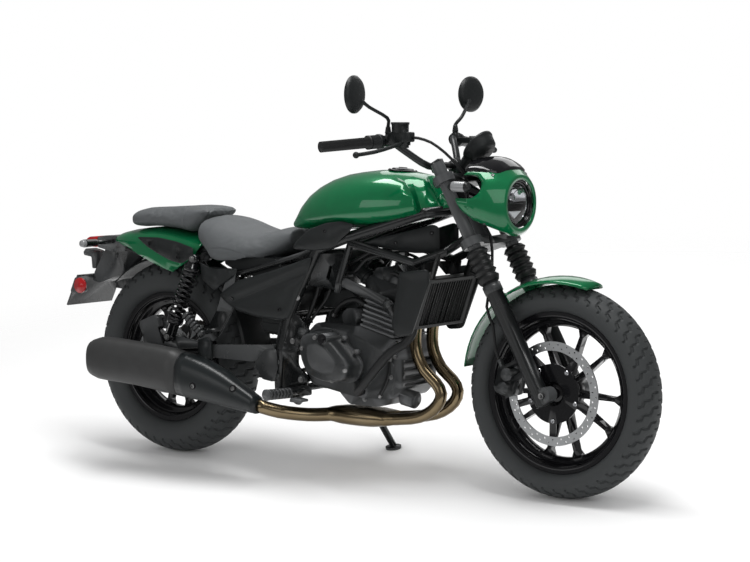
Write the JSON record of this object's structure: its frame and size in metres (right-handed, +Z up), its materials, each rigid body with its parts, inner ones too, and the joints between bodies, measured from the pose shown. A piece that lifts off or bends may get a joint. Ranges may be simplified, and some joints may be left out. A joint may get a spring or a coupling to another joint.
{
  "type": "cruiser motorcycle",
  "caption": "Cruiser motorcycle with a round headlamp cowl, teardrop tank, stepped seats, twin rear shocks, cast wheels and an open engine, parked on its side stand.",
  "frame": {"origin": "on the ground below the middle of the parked bike's box", "axes": "+X towards the front wheel along the wheelbase, +Y to the rider's left, +Z up from the ground; the bike leans 10 degrees to +Y"},
  "size_m": [2.2604, 0.8349, 1.2924],
  "materials": {
    "frame_black": "satin",
    "engine_black": "satin",
    "hose_rubber": "matte",
    "bronze_steel": "polished, heat tinted",
    "silencer_black": "matte",
    "radiator_black": "matte",
    "dark_plastic": "matte",
    "green_paint": "gloss metallic",
    "seat_leather": "grained",
    "red_lens": "gloss",
    "gloss_black": "gloss",
    "fork_black": "satin",
    "wheel_black": "gloss",
    "disc_steel": "brushed",
    "chain_steel": "oiled",
    "tyre_rubber": "matte",
    "lamp_glass": "clear"
  },
  "bodies": {
    "chassis": {"main_frame": "frame_black", "seat_rails": "frame_black", "crankcase": "engine_black", "cylinder_block": "engine_black", "clutch_cover": "engine_black", "left_engine_covers": "engine_black", "coolant_hose": "hose_rubber", "exhaust_headers": "bronze_steel", "silencer": "silencer_black", "radiator": "radiator_black", "radiator_shrouds": "dark_plastic", "fuel_tank": "green_paint", "knee_covers": "dark_plastic", "airbox_covers": "dark_plastic", "side_covers": "dark_plastic", "rider_seat": "seat_leather", "passenger_seat": "seat_leather", "tail_cowl": "green_paint", "tail_trims": "dark_plastic", "rear_mudguard": "dark_plastic", "plate_holder": "frame_black", "tail_lamp": "red_lens", "rear_turn_signals": "gloss_black", "swingarm": "frame_black", "rear_shocks": "fork_black", "drive_chain": "chain_steel", "rear_caliper": "fork_black", "rider_pegs": "frame_black", "passenger_pegs": "frame_black", "rear_axle": "disc_steel"},
    "steering": {"triple_clamps": "fork_black", "fork_tubes": "fork_black", "fork_boots": "hose_rubber", "fork_sliders": "fork_black", "front_axle": "disc_steel", "front_mudguard": "green_paint", "front_caliper": "fork_black", "brake_hose": "hose_rubber", "handlebar": "fork_black", "grips": "hose_rubber", "bar_controls": "dark_plastic", "mirrors": "dark_plastic", "cowl": "green_paint", "cowl_visor": "gloss_black", "headlamp": "lamp_glass", "instrument": "dark_plastic", "front_turn_signals": "gloss_black"},
    "front_wheel": {"front_tyre": "tyre_rubber", "front_rim": "wheel_black", "front_disc": "disc_steel"},
    "rear_wheel": {"rear_tyre": "tyre_rubber", "rear_rim": "wheel_black", "rear_disc": "disc_steel", "rear_sprocket": "disc_steel"},
    "side_stand": {"side_stand": "frame_black"}
  },
  "joints": [
    {"name": "steering_turn", "type": "hinge", "parent": "chassis", "child": "steering", "pos_m": [0.47143, -0.01172, 0.81954], "axis": [-0.4848, 0.1519, 0.8613], "range_deg": [-35, 35]},
    {"name": "front_wheel_spin", "type": "hinge", "parent": "steering", "child": "front_wheel", "pos_m": [0.811, -0.10052, 0.31592], "axis": [0, 0.9848, -0.1736], "continuous": true},
    {"name": "rear_wheel_spin", "type": "hinge", "parent": "chassis", "child": "rear_wheel", "pos_m": [-0.709, -0.09991, 0.31937], "axis": [0, 0.9848, -0.1736], "continuous": true},
    {"name": "stand_fold", "type": "hinge", "parent": "chassis", "child": "side_stand", "pos_m": [-0.045, 0.01903, 0.18771], "axis": [0.1148, 0.9133, 0.3908], "range_deg": [0, 91.8]}
  ]
}
